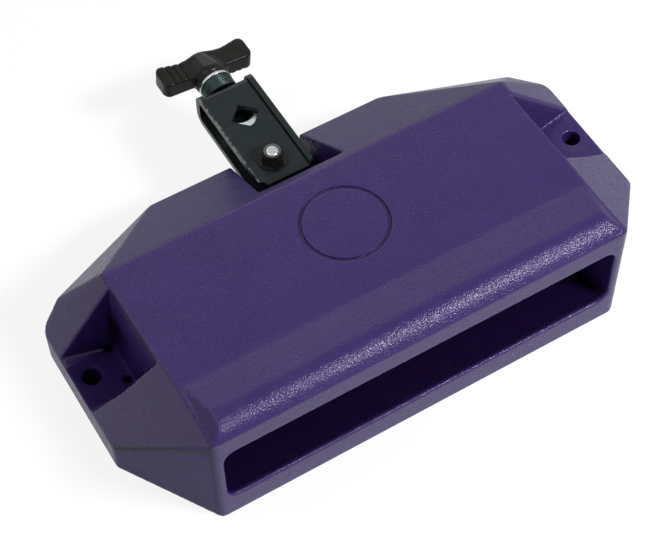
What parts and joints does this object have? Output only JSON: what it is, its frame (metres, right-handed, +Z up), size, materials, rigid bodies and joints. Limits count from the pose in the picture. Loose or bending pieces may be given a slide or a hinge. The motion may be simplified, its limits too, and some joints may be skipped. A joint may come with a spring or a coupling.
{
  "type": "woodblock",
  "caption": "Faceted plastic percussion block with a long slot mouth and rounded striking lip, carried by a folded steel strap that clamps onto a rod with an eye bolt.",
  "frame": {"origin": "on the flat underside, midway between the mouth face and the rear wall, in line with the middle of the mouth", "axes": "+Z up, the mouth faces -Y, the strap and the wing nut point to +Y, +X is to the right when facing the mouth's inside, towards the longer end"},
  "size_m": [0.274, 0.2041, 0.0693],
  "materials": {
    "block_plastic": "grained moulded plastic, dark violet",
    "black_coat": "fine black powder coat",
    "bolt_steel": "bright zinc plate",
    "black_hardware": "glossy black",
    "insert_plastic": "dull nylon",
    "zinc_steel": "blue-white zinc plate",
    "handle_plastic": "satin moulded plastic"
  },
  "bodies": {
    "block": {"body": "block_plastic", "bracket_strap": "black_coat", "strap_bolt": "bolt_steel", "head_washer": "black_hardware", "nut_washer": "black_hardware", "lock_nut": "black_hardware", "nut_insert": "insert_plastic", "spacer_sleeve": "zinc_steel", "thrust_washer": "zinc_steel"},
    "eye": {"eye_bolt": "zinc_steel"},
    "wing_nut": {"handle_insert": "bolt_steel", "wing_handle": "handle_plastic"}
  },
  "joints": [
    {"name": "eye_travel", "type": "slide", "parent": "block", "child": "eye", "axis": [0, 1, 0], "range_m": [-0.0066, 0.0004]},
    {"name": "wing_nut_turn", "type": "hinge", "parent": "block", "child": "wing_nut", "pos_m": [-0.0015, 0.0858, 0.0376], "axis": [0, 1, 0], "range_deg": [-130, 1915]}
  ],
  "couplings": [
    {"joint": "wing_nut_turn", "follows": "eye_travel", "rad_per_m": -5026.5}
  ]
}
